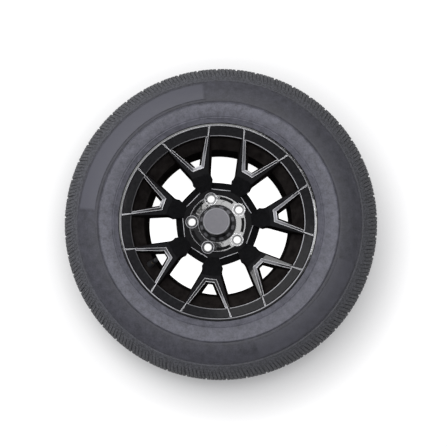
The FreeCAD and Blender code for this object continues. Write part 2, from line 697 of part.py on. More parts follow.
def build_spring_ring():
    """Flat wire ring that spreads the cap's skirt in the hub. Its ends stand apart."""
    body = new_body("cap_spring_ring")
    ring_r = f"({SKIRT_BORE_R} + ring_groove - disc_gap)"
    low = f"({RING_LOW} + disc_gap)"
    high = f"({RING_HIGH} - disc_gap)"
    inner = f"({ring_r} - ring_thickness)"
    turned(body, "wire", [(inner, low), (ring_r, low), (ring_r, high), (inner, high)])
    past = "ring_thickness"
    arc_cut(body, "ring_gap", [[
        (f"{inner} - {past}", f"{low} - {past}"),
        (f"{ring_r} + {past}", f"{low} - {past}"),
        (f"{ring_r} + {past}", f"{high} + {past}"),
        (f"{inner} - {past}", f"{high} + {past}"),
    ]], "ring_opening", "spoke_angle")
    return body


BUTTON_END = f"(-{SLOPE_WALL} - valve_gap - valve_button)"
STEM_R = "(stem_diameter / 2)"
STEM_CORE_R = "(stem_core_diameter / 2)"
BARREL_TOP = "(valve_length - barrel_drop)"
BARREL_END = "(valve_length - barrel_drop - barrel_length)"
CUP_TOP = "(valve_length - barrel_drop - barrel_length - cup_gap)"
PIN_R = "(pin_diameter / 2)"
GUIDE_R = "(pin_diameter / 2 + pin_gap)"
COLLAR_END = "(valve_length - collar_drop - collar_length)"
CAP_BORE_R = "(stem_diameter / 2 + screw_cap_gap)"
SEAL_END = "(valve_length + seal_gap)"
SEAL_TOP = "(valve_length + seal_gap + screw_cap_seal)"
SCREW_CAP_TOP = "(valve_length + seal_gap + screw_cap_seal + screw_cap_top)"


def valve_sections():
    """Half sections of the valve's turned pieces, as (radius, height above the barrel) corners."""
    button_r = "(valve_button_diameter / 2)"
    button_top = f"(-{SLOPE_WALL} - valve_gap)"
    neck_r = "(valve_hole_diameter / 2 - neck_gap)"
    shoulder_r = "(valve_shoulder_diameter / 2)"
    core_r = "(stem_bore / 2 - core_gap)"
    barrel_bore_r = "(barrel_bore / 2)"
    gasket_top = f"({BARREL_END} + gasket_length)"
    cup_end = f"({CUP_TOP} - cup_length)"
    return {
        "valve_body": [
            (STEM_CORE_R, BUTTON_END),
            (f"{button_r} - stem_edge", BUTTON_END),
            (button_r, f"{BUTTON_END} + stem_edge"),
            (button_r, button_top),
            (neck_r, button_top),
            (neck_r, "valve_gap"),
            (shoulder_r, "valve_gap"),
            (shoulder_r, "valve_gap + valve_button / 2"),
            ("valve_neck_diameter / 2", "valve_body_length"),
            (STEM_CORE_R, "valve_body_length"),
        ],
        "valve_stem": [
            ("stem_seat_bore / 2", BUTTON_END),
            (STEM_CORE_R, BUTTON_END),
            (STEM_CORE_R, "valve_body_length"),
            (STEM_R, "valve_body_length"),
            (STEM_R, "valve_length - stem_edge"),
            (f"{STEM_R} - stem_edge", "valve_length"),
            ("stem_bore / 2", "valve_length"),
            ("stem_bore / 2", "valve_length - core_depth"),
            ("stem_seat_bore / 2", "valve_length - core_depth - stem_edge"),
        ],
        "core_barrel": [
            (GUIDE_R, BARREL_END),
            (barrel_bore_r, BARREL_END),
            (barrel_bore_r, gasket_top),
            (core_r, gasket_top),
            (core_r, BARREL_TOP),
            (barrel_bore_r, BARREL_TOP),
            (barrel_bore_r, f"{BARREL_END} + gasket_length + barrel_floor"),
            (GUIDE_R, f"{BARREL_END} + gasket_length + barrel_floor"),
        ],
        "core_gasket": [
            (barrel_bore_r, BARREL_END),
            (core_r, BARREL_END),
            (core_r, gasket_top),
            (barrel_bore_r, gasket_top),
        ],
        "core_pin": [
            ("0", f"{cup_end} - pin_foot"),
            (PIN_R, f"{cup_end} - pin_foot"),
            (PIN_R, COLLAR_END),
            ("collar_diameter / 2", COLLAR_END),
            ("collar_diameter / 2", "valve_length - collar_drop"),
            (PIN_R, "valve_length - collar_drop"),
            (PIN_R, "valve_length - pin_drop"),
            ("0", "valve_length - pin_drop"),
        ],
        "core_cup": [
            (PIN_R, cup_end),
            ("cup_diameter / 2 - pin_foot", cup_end),
            ("cup_diameter / 2", f"{cup_end} + pin_foot"),
            ("cup_diameter / 2", CUP_TOP),
            (PIN_R, CUP_TOP),
        ],
        "valve_cap_seal": [
            ("seal_bore / 2", SEAL_END),
            (f"{CAP_BORE_R} - seal_gap", SEAL_END),
            (f"{CAP_BORE_R} - seal_gap", SEAL_TOP),
            ("seal_bore / 2", SEAL_TOP),
        ],
        "valve_cap": [
            ("0", SEAL_TOP),
            (CAP_BORE_R, SEAL_TOP),
            (CAP_BORE_R, f"{SCREW_CAP_TOP} - screw_cap_length"),
            ("screw_cap_diameter / 2", f"{SCREW_CAP_TOP} - screw_cap_length"),
            ("screw_cap_diameter / 2", f"{SCREW_CAP_TOP} - stem_edge"),
            ("screw_cap_diameter / 2 - stem_edge", SCREW_CAP_TOP),
            ("0", SCREW_CAP_TOP),
        ],
    }


def grip_flutes(body):
    """Flutes along the screw cap, which stop short of its top."""
    flute = body.newObject("PartDesign::Pocket", "flute")
    top = f"({SCREW_CAP_TOP} - screw_cap_top)"
    flute.Profile = round_sketch(body, "flute_circle", "screw_cap_diameter / 2 + flute_diameter / 4",
                                 "flute_diameter", top, "0")
    flute.setExpression("Length", bound("screw_cap_length"))
    doc.recompute()
    repeated(body, "flutes", [flute], "screw_cap_flutes")


def build_core_spring():
    """Coil of square wire between the core barrel's floor and the pin's collar."""
    coil_r = number("spring_diameter / 2")
    half = number("spring_wire / 2")
    start = number(f"{BARREL_END} + gasket_length + barrel_floor") + half
    length = number(COLLAR_END) - half - start
    helix = Part.makeHelix(length / number("spring_turns"), length, coil_r)
    helix.translate(Vector(0, 0, start))
    wire_end = Part.makePolygon([
        Vector(coil_r - half, 0, start - half),
        Vector(coil_r + half, 0, start - half),
        Vector(coil_r + half, 0, start + half),
        Vector(coil_r - half, 0, start + half),
        Vector(coil_r - half, 0, start - half),
    ])
    spring = doc.addObject("Part::Feature", "core_spring")
    spring.Label = "core_spring"
    spring.Shape = Part.Wire(helix.Edges).makePipeShell([wire_end], True, True)
    return spring


def build_valve():
    pieces = []
    for label, section in valve_sections().items():
        body = new_body(label)
        turned(body, f"{label}_turned", section)
        if label == "valve_cap":
            grip_flutes(body)
        pieces.append(body)
    pieces.append(build_core_spring())
    place = valve_frame("spoke_angle + valve_spoke * 360 / spoke_count")
    for piece in pieces:
        piece.Placement = place
    doc.recompute()
    return pieces


def write_parts(pieces):
    """Writes each piece once nothing in the document has failed."""
    for item in doc.Objects:
        if "Invalid" in item.State or "Error" in item.State:
            raise RuntimeError(f"{item.Name} failed: {item.State}")
    for piece in pieces:
        if piece.Shape.isNull() or not piece.Shape.isValid():
            raise RuntimeError(f"{piece.Label} has no valid shape")
    os.makedirs("parts", exist_ok=True)
    for piece in pieces:
        piece.Shape.exportStep(f"parts/{piece.Label}.step")
        print(piece.Label, round(piece.Shape.Volume, 2), len(piece.Shape.Solids))


write_parts([
    build_tyre(),
    build_wheel(),
    build_centre_cap(),
    build_cap_disc(),
    build_spring_ring(),
    *build_valve(),
])
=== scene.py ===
"""Looks of the trailer spare wheel. Sizes are millimetres, but the floor and the lights are in metres."""
import math

import bmesh
import bpy
from mathutils import Matrix, Vector


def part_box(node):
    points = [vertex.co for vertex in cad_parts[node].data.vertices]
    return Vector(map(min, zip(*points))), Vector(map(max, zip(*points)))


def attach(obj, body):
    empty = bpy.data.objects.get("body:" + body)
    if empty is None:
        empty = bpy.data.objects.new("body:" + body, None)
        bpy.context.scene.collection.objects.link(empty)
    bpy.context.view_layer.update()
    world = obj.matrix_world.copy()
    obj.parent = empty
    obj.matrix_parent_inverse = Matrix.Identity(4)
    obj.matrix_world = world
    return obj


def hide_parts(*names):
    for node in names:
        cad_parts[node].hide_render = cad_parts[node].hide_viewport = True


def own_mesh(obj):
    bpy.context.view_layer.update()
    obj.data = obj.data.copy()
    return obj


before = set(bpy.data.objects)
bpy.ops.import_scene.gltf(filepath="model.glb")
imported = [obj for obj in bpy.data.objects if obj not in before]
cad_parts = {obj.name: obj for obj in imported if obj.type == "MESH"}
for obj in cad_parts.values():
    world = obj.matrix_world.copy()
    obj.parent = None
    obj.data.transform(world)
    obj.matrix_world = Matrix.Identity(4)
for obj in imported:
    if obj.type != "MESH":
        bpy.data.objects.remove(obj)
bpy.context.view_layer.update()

MM = 0.001
SCENE = bpy.context.scene
SCENE.view_settings.view_transform = "Standard"

# Camera, fitted to the rings of the wheel and tyre in the photograph: the wheel's turn in radians and its
# place, both in the camera's own frame, then the focal length and the picture's centre in pixels
PHOTO_SIZE = 447
VIEW_TURN_X = -0.05654
VIEW_TURN_Y = -0.08517
VIEW_PLACE = (60.72, 18.14, -1073.5)
FOCAL_PIXELS = 473.33
PICTURE_CENTRE = (190.71, 232.06)

# Wheel
SPOKE_COUNT = 7
SPOKE_ANGLE = math.radians(6.3)
HALF_SPOKE_STEP = math.pi / SPOKE_COUNT
LIP_R = 202.6
RIM_EDGE_R = 182.8
RAMP_TOP_R = 76.0
RAMP_HALF = 21.5
BOLT_COUNT = 5
BOLT_ANGLE = math.radians(32.2)
HALF_BOLT_STEP = math.pi / BOLT_COUNT
BOLT_CIRCLE_R = 57.15
BOSS_R = 13.6
SEAT_MOUTH_R = 10.4
PAD_TOP = 18.0

# Painted highlights along edges of the wheel's paint, drawn as thin pale lines. Each pair is the distance
# where a line is gone and where it is full
LIP_LINE_INNER = (-1.3, -0.6)
LIP_LINE_OUTER = (0.7, 0.0)
RIM_LINE_R = RIM_EDGE_R + 0.5
RIM_LINE = (0.9, 0.5)
RAMP_LINE = (0.8, 0.5)
RAMP_LINE_END = (0.2, -0.4)
BOSS_LINE = (0.8, 0.4)
# The rim's line shows beside windows only: half angles of its stretches, and the angle over which they fade
WINDOW_REACH = math.radians(11.0)
FORK_REACH = math.radians(13.0)
LINE_FADE = 0.01
# Strength of the lip's painted highlight in its weak patches, and of the rim's painted highlight on the -X
# and +X sides, painted stronger on the +X side
LIP_LINE_WEAKEST = 0.35
RIM_LINE_SIDES = (0.1, 0.7)

# Plain raised panels on the sidewall: middle and half length as angles, and how much paler each is. Their
# paler rubber is their own colour, but the first panel is paler than the second as painted light from its
# side
PANEL_ARCS = ((math.radians(135), math.radians(40), 0.85), (math.radians(315), math.radians(28), 0.4))
PANEL_RADII = (254.0, 290.0)
PANEL_RISE = 1.0
# Length and angle over which a panel's paler colour fades in
PANEL_FADE = 2.0
PANEL_FADE_ANGLE = 0.02

# Rubber's colour at radii of the tyre, on a scale between two radii
BAND_SCALE = (200.0, 340.0)
TYRE_BANDS = [
    (208, (0.083, 0.083, 0.103)),
    (216, (0.085, 0.085, 0.106)),
    (244, (0.098, 0.098, 0.122)),
    (248, (0.039, 0.039, 0.05)),
    (293, (0.041, 0.041, 0.052)),
    (298, (0.05, 0.051, 0.06)),
    (332, (0.047, 0.048, 0.053)),
]
# Radii between which specks take over from clouds on the rubber, with their share at both, and radii between
# which the painted side light sets in
SPECK_RADII = (288.0, 304.0)
SPECK_SHARES = (0.15, 0.75)
SIDE_LIGHT_RADII = (246.0, 258.0)
# Angle of the side on which painted light makes the outer sidewall and shoulder paler, with the opposite
# side darker
LIT_SIDE_ANGLE = math.radians(185)

# Centre cap: blocks round its foot. Each pair is where a painted highlight is gone and where it is full:
# shares of a block's pitch, heights on the blocks and the front rim, and radii on the disc
CAP_BLOCKS = 12
BLOCK_START = (0.2, 0.3)
BLOCK_END = (0.8, 0.7)
BLOCK_FOOT = (18.0, 19.0)
BLOCK_HEAD = (24.0, 23.0)
CAP_RIM = (83.2, 83.7)
DISC_EDGE = (25.4, 26.2)

# Tyre sidewall from the flange to the shoulder: radius and height of the points its curve runs through
SIDEWALL = [(207.7, 88.9), (219.0, 96.0), (238.0, 102.6), (256.0, 104.0), (272.0, 102.6), (286.0, 98.6),
            (298.0, 93.5)]
# Moulded rings on the sidewall: radius, half width and height above the surface
RINGS = [(216.5, 1.4, 0.7), (218.8, 0.9, -0.9), (245.6, 1.3, 0.8), (248.4, 1.1, -0.6), (294.0, 1.0, -0.9),
         (296.6, 1.2, 0.9)]
# Rest of the tyre's section, as radius and height. The shoulder's curve only bends towards its middle point
BEAD = [(199.4, 57.2), (190.4, 57.2), (190.4, 71.4), (194.9, 75.9), (201.7, 75.9), (207.7, 81.9)]
LINING = [(240.0, 96.0), (268.0, 96.0), (320.0, 58.0)]
SHOULDER = [SIDEWALL[-1], (318.0, 84.5), (331.0, 69.0)]
# Numbers of rows along the sidewalls and the shoulder, places of rows across a ring as shares of its half
# width, and how far from a panel's edge the rows on both its sides lie
FRONT_ROWS = 10
BACK_ROWS = 4
SHOULDER_ROWS = 9
FRONT_RING_ROWS = (-1, -0.5, 0, 0.5, 1)
BACK_RING_ROWS = (-1, 0, 1)
PANEL_EDGE_HALF = 0.6
# Tread: how far it drops to its edge, heights of the rows on its ribs, and the grooves between the ribs
TYRE_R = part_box("tyre")[1].x / MM
TREAD_EDGE = SHOULDER[-1][1]
TREAD_DROP = 3.5
OUTER_RIB = (64.0, 58.0, 51.0)
INNER_RIB = (29.0, 20.0, 11.0)
OUTER_GROOVE = 40.0
GROOVE_DEPTH = 8.0
GROOVE_HALF = 4.0
GROOVE_LEAN = 0.6
# Notches of the shoulder, whose mouth and floor are shares of the half width, and fine sipes of the tread at
# shares of the pitch. Both deepen up the shoulder by their growth and lean round by the slant
NOTCH_COUNT = 49
NOTCH_PITCH = 2 * math.pi / NOTCH_COUNT
NOTCH_HALF = 1.7
NOTCH_MOUTH = 1.25
NOTCH_FLOOR = 0.8
NOTCH_DEPTH = 2.6
NOTCH_GROWTH = 1.4
SIPES = (0.2, 0.4, 0.6, 0.8)
SIPE_HALF = 0.8
SIPE_DEPTH = 2.0
SIPE_GROWTH = 3
SIPE_DELAY = 0.5
SLANT = math.radians(1.6)
# Angle between faces from which the tyre's edges are sharp
TYRE_SHARP = math.radians(32)

# Kinds of finish on the wheel, as places in its list of materials
GLOSS, MILLED, DULL, LOW, BARE, SEAT, RIM = range(7)
# Limits of the finishes in radius, height and facing, which is the upward part of a face's normal
TURNED_RADII = ((61.8, 63.4), (41.6, 43.2))
TURNED_HEIGHTS = (16.0, 19.0)
TURNED_FACING = (0.5, 0.95)
SEAT_HEIGHTS = (8.0, 19.5)
SEAT_FACING = (0.2, 0.95)
MILLED_RADII = (108.0, 204.5)
MILLED_HEIGHTS = (36.0, 87.5)
MILLED_FACING = (0.5, 0.995)
RIM_RADII = (176.0, 200.6)
BARREL_R = 160.0
BARREL_TOP = 62.0
LIP_FOOT = 82.0
HUB_R = 98.0
PAD_REACH = 84.0
PAD_STEP = 0.9
WALL_FACING = 0.45
BACK_FACING = -0.1
# Milled faces lean outward along the spoke, or to a fork window's side, by a share of their normal. At the
# window's foot, within a radius, they lie nearly flat and lean less
FORK_SIDE = (0.48, 0.877)
MILLED_LEAN = 0.25
FOOT_R = 150.0
FOOT_FACING = 0.9
FOOT_LEAN = 0.03
# Room for the facets of a round edge, width of the bright borders, and distance at which points are one
ROUND_SPARE = 0.2
BORDER = 0.9
WELD = 0.002
# Angle between faces from which the wheel's edges are sharp
WHEEL_SHARP = math.radians(20)

# Floor, in metres. The camera and mirrors see some light of its own, listed as the distance from the wheel's
# middle and the share of white. Full under the wheel, it paints out the shade seen through the windows; gone
# near the tyre, it leaves a painted shadow ring round it
FLOOR_HALF = 30.0
FLOOR_GREY = 0.71
FLOOR_REACH = 0.6
FLOOR_PAINTED_GLOW = [(0.24, 1.0), (0.3, 0.0), (0.35, 0.0), (0.43, 0.25), (0.52, 0.56)]

# Colours of the studio round the wheel, from 0 at the horizon to 1 straight up
SKY = [(0.0, (1.0, 1.0, 1.0)), (0.22, (0.9, 0.9, 0.92)), (0.36, (0.16, 0.16, 0.17)),
       (0.85, (0.14, 0.14, 0.15)), (0.97, (0.45, 0.45, 0.47))]

# Limits between which most of a noise lies
NOISE_LOW = 0.3
NOISE_HIGH = 0.7
# Places of a colour mix node's sockets, which share their names with its other kinds
MIX_SHARE = 0
MIX_FIRST = 6
MIX_SECOND = 7
MIX_RESULT = 2


def add_camera():
    camera = bpy.data.objects.new("camera", bpy.data.cameras.new("camera"))
    turn = Matrix.Rotation(VIEW_TURN_X, 4, "X") @ Matrix.Rotation(VIEW_TURN_Y, 4, "Y")
    view = Matrix.Translation(Vector(VIEW_PLACE) * MM) @ turn
    camera.matrix_world = view.inverted()
    camera.data.lens = FOCAL_PIXELS / PHOTO_SIZE * camera.data.sensor_width
    camera.data.shift_x = (PHOTO_SIZE / 2 - PICTURE_CENTRE[0]) / PHOTO_SIZE
    camera.data.shift_y = (PICTURE_CENTRE[1] - PHOTO_SIZE / 2) / PHOTO_SIZE
    SCENE.collection.objects.link(camera)
    SCENE.camera = camera


class Nodes:
    """A short way to write a node tree."""

    def __init__(self, tree):
        self.tree = tree
        tree.nodes.clear()

    def add(self, kind, inputs=None, **settings):
        node = self.tree.nodes.new(kind)
        for name, value in settings.items():
            setattr(node, name, value)
        for name, value in (inputs or {}).items():
            self.put(node.inputs[name], value)
        return node

    def put(self, socket, value):
        if isinstance(value, bpy.types.NodeSocket):
            self.tree.links.new(value, socket)
        else:
            socket.default_value = value

    def math(self, operation, *values):
        node = self.add("ShaderNodeMath", operation=operation)
        for socket, value in zip(node.inputs, values):
            self.put(socket, value)
        return node.outputs[0]

    def product(self, first, *others):
        for other in others:
            first = self.math("MULTIPLY", first, other)
        return first

    def largest(self, first, *others):
        for other in others:
            first = self.math("MAXIMUM", first, other)
        return first

    def hypotenuse(self, x, y):
        return self.math("SQRT", self.math("ADD", self.product(x, x), self.product(y, y)))

    def noise(self, scale, detail=4, roughness=0.6):
        where = self.add("ShaderNodeTexCoord").outputs["Object"]
        inputs = {"Vector": where, "Scale": scale, "Detail": detail, "Roughness": roughness}
        return self.add("ShaderNodeTexNoise", inputs).outputs["Fac"]

    def span(self, value, low, high, to_low=0.0, to_high=1.0):
        """A value between two limits, carried over to two others and held there."""
        inputs = {"Value": value, "From Min": low, "From Max": high, "To Min": to_low, "To Max": to_high}
        return self.add("ShaderNodeMapRange", inputs).outputs["Result"]

    def wander(self, noise, low=0.0, high=1.0):
        """A value that follows a noise between two limits."""
        return self.span(noise, NOISE_LOW, NOISE_HIGH, low, high)

    def fade(self, length, limits, start=0.0):
        """Nothing at the first of two limits and full at the second, both measured from a start."""
        gone, full = limits
        return self.span(length, (start + gone) * MM, (start + full) * MM)

    def line(self, length, middle, limits):
        """A line where a length is near its middle, with the distances at which it is gone and full."""
        return self.fade(self.math("ABSOLUTE", self.math("SUBTRACT", length, middle * MM)), limits)

    def turn_from(self, angle, middle, half_step):
        """Angle from the nearest of several middles that are whole steps apart."""
        return self.math("WRAP", self.math("SUBTRACT", angle, middle), half_step, -half_step)

    def ramp(self, value, stops):
        node = self.add("ShaderNodeValToRGB", {"Fac": value})
        steps = node.color_ramp.elements
        while len(steps) < len(stops):
            steps.new(1.0)
        for step, (place, colour) in zip(steps, stops):
            step.position = place
            step.color = (*colour, 1.0)
        return node.outputs["Color"]

    def place(self):
        """Place in the object's frame, by the names X, Y and Z."""
        where = self.add("ShaderNodeTexCoord").outputs["Object"]
        return self.add("ShaderNodeSeparateXYZ", {"Vector": where}).outputs

    def radius(self):
        """Distance from the wheel's axis."""
        place = self.place()
        return self.hypotenuse(place["X"], place["Y"])

    def height(self):
        """Height along the wheel's axis."""
        return self.place()["Z"]

    def angle(self):
        """Angle round the wheel's axis."""
        place = self.place()
        return self.math("ARCTAN2", place["Y"], place["X"])

    def mix(self, share, first, second, blend="MIX"):
        node = self.add("ShaderNodeMix", data_type="RGBA", blend_type=blend)
        self.put(node.inputs[MIX_SHARE], share)
        self.put(node.inputs[MIX_FIRST], first)
        self.put(node.inputs[MIX_SECOND], second)
        return node.outputs[MIX_RESULT]

    def bump(self, height, strength, distance):
        inputs = {"Height": height, "Strength": strength, "Distance": distance * MM}
        return self.add("ShaderNodeBump", inputs).outputs["Normal"]

    def finish(self, **inputs):
        named = {name.replace("_", " "): value for name, value in inputs.items()}
        shader = self.add("ShaderNodeBsdfPrincipled", named)
        self.add("ShaderNodeOutputMaterial", {"Surface": shader.outputs[0]})


def new_material(name):
    material = bpy.data.materials.new(name)
    material.use_nodes = True
    return material, Nodes(material.node_tree)


def grey(value, blue=1.0):
    """A grey, tinted by the strength of its blue."""
    return (value, value, value * blue, 1)


def lip_line(nodes, radius):
    """Painted highlight round the lip, weaker in patches."""
    inner = nodes.fade(radius, LIP_LINE_INNER, LIP_R)
    outer = nodes.fade(radius, LIP_LINE_OUTER, LIP_R)
    patches = nodes.noise(9, detail=2, roughness=0.5)
    highlight_patches = nodes.span(patches, low=0.35, high=0.65, to_low=LIP_LINE_WEAKEST)
    return nodes.product(inner, outer, highlight_patches)


def rim_line(nodes, radius, angle, turned):
    """Painted highlight along the rim's inner edge beside each window, stronger on the +X side as painted
    light from there.
    """
    from_window = nodes.math("ABSOLUTE", turned)
    fork_end = HALF_SPOKE_STEP - FORK_REACH
    stretches = nodes.largest(nodes.span(from_window, WINDOW_REACH, WINDOW_REACH - LINE_FADE),
                              nodes.span(from_window, fork_end, fork_end + LINE_FADE))
    left, right = RIM_LINE_SIDES
    # Painted light: the rim's highlight is stronger on the +X side
    shine = nodes.span(nodes.math("COSINE", angle), low=-0.6, high=0.6, to_low=left, to_high=right)
    return nodes.product(nodes.line(radius, RIM_LINE_R, RIM_LINE), stretches, shine)


def ramp_line(nodes, radius, turned):
    """Painted highlight as a straight line along the top of the ramp at each window's foot."""
    along = nodes.product(radius, nodes.math("COSINE", turned))
    aside = nodes.math("ABSOLUTE", nodes.product(radius, nodes.math("SINE", turned)))
    ends = nodes.fade(aside, RAMP_LINE_END, RAMP_HALF)
    return nodes.product(nodes.line(along, RAMP_TOP_R, RAMP_LINE), ends)


def boss_line(nodes, radius, angle):
    """Painted highlight round each bolt boss."""
    by_bolt = nodes.turn_from(angle, BOLT_ANGLE, HALF_BOLT_STEP)
    off_x = nodes.math("SUBTRACT", nodes.product(radius, nodes.math("COSINE", by_bolt)), BOLT_CIRCLE_R * MM)
    off_y = nodes.product(radius, nodes.math("SINE", by_bolt))
    return nodes.line(nodes.hypotenuse(off_x, off_y), BOSS_R, BOSS_LINE)


def wheel_paint(name, dark, light, roughness, shine):
    """Black paint with thin painted highlights along the lip, the rim, the windows' ramps and the bolt
    bosses.
    """
    material, nodes = new_material(name)
    radius = nodes.radius()
    angle = nodes.angle()
    turned = nodes.turn_from(angle, SPOKE_ANGLE + HALF_SPOKE_STEP, HALF_SPOKE_STEP)
    lines = nodes.largest(lip_line(nodes, radius), rim_line(nodes, radius, angle, turned),
                          ramp_line(nodes, radius, turned), boss_line(nodes, radius, angle))
    dust_and_side_light = nodes.noise(160, detail=6, roughness=0.7)
    paint = nodes.mix(nodes.span(dust_and_side_light, low=0.35, high=0.8), grey(dark, blue=1.1), grey(light, blue=1.1))
    # Colour of the painted highlights along the edges
    painted_highlight_grey = grey(0.6, blue=1.05)
    dullest = roughness + 0.06
    nodes.finish(Base_Color=nodes.mix(lines, paint, painted_highlight_grey),
                 Roughness=nodes.span(dust_and_side_light, low=0.3, high=0.8, to_low=roughness, to_high=dullest),
                 Specular_IOR_Level=shine,
                 Normal=nodes.bump(nodes.noise(55, detail=3, roughness=0.55), strength=0.3, distance=1.0))
    return material


def satin_black():
    """Thin dull paint on the walls of the windows and inside the barrel."""
    material, nodes = new_material("satin_black_paint")
    cloud = nodes.noise(45, detail=6, roughness=0.7)
    dark = (0.006, 0.005, 0.005, 1)
    light = (0.024, 0.021, 0.02, 1)
    nodes.finish(Base_Color=nodes.mix(nodes.span(cloud, low=0.3, high=0.75), dark, light),
                 Roughness=nodes.wander(cloud, 0.5, 0.65),
                 Specular_IOR_Level=0.0,
                 Normal=nodes.bump(nodes.noise(500, detail=3), strength=0.05, distance=0.2))
    return material


def milled_metal():
    """Milled edge under dark lacquer, bare in patches."""
    material, nodes = new_material("milled_edge")
    marks = nodes.noise(420, roughness=0.75)
    cloud = nodes.noise(14, detail=2, roughness=0.5)
    lacquer = (0.025, 0.025, 0.027, 1)
    bare = (0.3, 0.3, 0.32, 1)
    nodes.finish(Base_Color=nodes.mix(nodes.span(cloud, low=0.47, high=0.62), lacquer, bare),
                 Metallic=0.35,
                 Roughness=nodes.wander(marks, 0.3, 0.45),
                 Normal=nodes.bump(marks, strength=0.04, distance=0.2))
    return material


def bare_metal():
    """Bright bare metal of turned edges and of the milled edges' borders."""
    material, nodes = new_material("bare_edge")
    marks = nodes.noise(300, roughness=0.75)
    dark = (0.6, 0.6, 0.62, 1)
    light = (0.95, 0.95, 0.98, 1)
    nodes.finish(Base_Color=nodes.mix(nodes.wander(marks), dark, light),
                 Metallic=0.2,
                 Roughness=nodes.wander(marks, 0.35, 0.5),
                 Normal=nodes.bump(marks, strength=0.04, distance=0.2))
    return material


def panel_share(nodes, radius, angle):
    """How much paler the rubber is, which it is on the raised panels only."""
    paler = 0.0
    for middle, half, share in PANEL_ARCS:
        away = nodes.math("ABSOLUTE", nodes.turn_from(angle, middle, math.pi))
        paler = nodes.largest(paler, nodes.span(away, half, half - PANEL_FADE_ANGLE, to_high=share))
    low, high = PANEL_RADII
    inner = nodes.fade(radius, (0.0, PANEL_FADE), low)
    outer = nodes.fade(radius, (0.0, -PANEL_FADE), high)
    return nodes.product(paler, inner, outer)


def rubber():
    """Rubber in bands, clouded and specked, with paler panels, and painted light that makes the outer
    sidewall and shoulder paler on one side and darker on the other.
    """
    material, nodes = new_material("tyre_rubber")
    radius = nodes.radius()
    angle = nodes.angle()
    inner, outer = BAND_SCALE
    bands = nodes.ramp(nodes.fade(radius, BAND_SCALE),
                       [((place - inner) / (outer - inner), colour) for place, colour in TYRE_BANDS])
    mottle = nodes.noise(70, detail=9, roughness=0.8)
    clouds = nodes.mix(nodes.span(mottle, low=0.36, high=0.66), grey(0.5, blue=1.02), grey(1.46))
    speckle = nodes.noise(300, detail=2, roughness=0.5)
    specks = nodes.mix(nodes.span(speckle, low=0.38, high=0.62), grey(0.42), (1.6, 1.6, 1.58, 1))
    low, high = SPECK_RADII
    few, many = SPECK_SHARES
    shade = nodes.mix(nodes.span(radius, low * MM, high * MM, few, many), clouds, specks)
    # The panels' paler rubber, with the first panel's extra paleness painted light
    shade = nodes.mix(panel_share(nodes, radius, angle), shade, (1.75, 1.75, 1.72, 1))
    # Painted light: the outer sidewall and shoulder are paler on one side and darker on the other
    side = nodes.math("COSINE", nodes.math("SUBTRACT", angle, LIT_SIDE_ANGLE))
    dust_and_side_light = nodes.mix(nodes.span(side, low=-1.0, high=1.0), grey(0.84), grey(1.24))
    dust_and_side_light = nodes.mix(nodes.fade(radius, SIDE_LIGHT_RADII), grey(1.0), dust_and_side_light)
    shaded = nodes.mix(1.0, bands, shade, "MULTIPLY")
    nodes.finish(Base_Color=nodes.mix(1.0, shaded, dust_and_side_light, "MULTIPLY"),
                 Roughness=nodes.wander(mottle, 0.55, 0.72),
                 Normal=nodes.bump(nodes.noise(900, detail=3), strength=0.12, distance=0.4))
    return material


def plastic(name, dark, light, roughness):
    """Moulded plastic or paint with a fine grain between two shades."""
    material, nodes = new_material(name)
    grain = nodes.noise(1200, detail=3)
    cloud = nodes.noise(90, detail=5)
    nodes.finish(Base_Color=nodes.mix(nodes.wander(cloud), (*dark, 1), (*light, 1)),
                 Roughness=nodes.wander(grain, roughness - 0.06, roughness + 0.06),
                 Normal=nodes.bump(grain, strength=0.08, distance=0.15))
    return material


def cap_black():
    """Black cap with painted highlights on its front rim and on the tops of the blocks round its foot."""
    material, nodes = new_material("cap_black_plastic")
    height = nodes.height()
    grain = nodes.noise(1200, detail=3)
    turns = nodes.math("FRACT", nodes.product(nodes.angle(), CAP_BLOCKS / (2 * math.pi)))
    across = nodes.product(nodes.span(turns, *BLOCK_START), nodes.span(turns, *BLOCK_END))
    blocks = nodes.product(across, nodes.fade(height, BLOCK_FOOT), nodes.fade(height, BLOCK_HEAD))
    dark = (0.005, 0.005, 0.006, 1)
    light = (0.011, 0.011, 0.013, 1)
    block_top_highlight = (0.11, 0.11, 0.12, 1)
    front_rim_highlight = (0.2, 0.2, 0.21, 1)
    colour = nodes.mix(nodes.noise(90, detail=5), dark, light)
    # Painted highlights on the block tops and the front rim
    colour = nodes.mix(blocks, colour, block_top_highlight)
    colour = nodes.mix(nodes.fade(height, CAP_RIM), colour, front_rim_highlight)
    nodes.finish(Base_Color=colour,
                 Roughness=nodes.wander(grain, 0.42, 0.56),
                 Specular_IOR_Level=0.15,
                 Normal=nodes.bump(grain, strength=0.06, distance=0.15))
    return material


def cap_grey():
    """Grey paint of the cap's disc, with a painted highlight at its turned-up edge."""
    material, nodes = new_material("cap_grey_paint")
    grain = nodes.noise(1400, detail=3)
    cloud = nodes.noise(110, detail=5, roughness=0.65)
    dark = (0.074, 0.072, 0.088, 1)
    light = (0.095, 0.092, 0.11, 1)
    edge_highlight = (0.3, 0.3, 0.33, 1)
    paint = nodes.mix(nodes.wander(cloud), dark, light)
    # Painted highlight on the disc's turned-up edge
    nodes.finish(Base_Color=nodes.mix(nodes.fade(nodes.radius(), DISC_EDGE), paint, edge_highlight),
                 Roughness=nodes.wander(grain, 0.38, 0.5),
                 Normal=nodes.bump(grain, strength=0.08, distance=0.12))
    return material


def metal(name, dark, light, roughness):
    """Bare metal with fine marks between two shades."""
    material, nodes = new_material(name)
    marks = nodes.noise(1500, roughness=0.7)
    nodes.finish(Base_Color=nodes.mix(marks, (*dark, 1), (*light, 1)),
                 Metallic=1.0,
                 Roughness=nodes.wander(marks, roughness - 0.08, roughness + 0.08),
                 Normal=nodes.bump(marks, strength=0.06, distance=0.1))
    return material


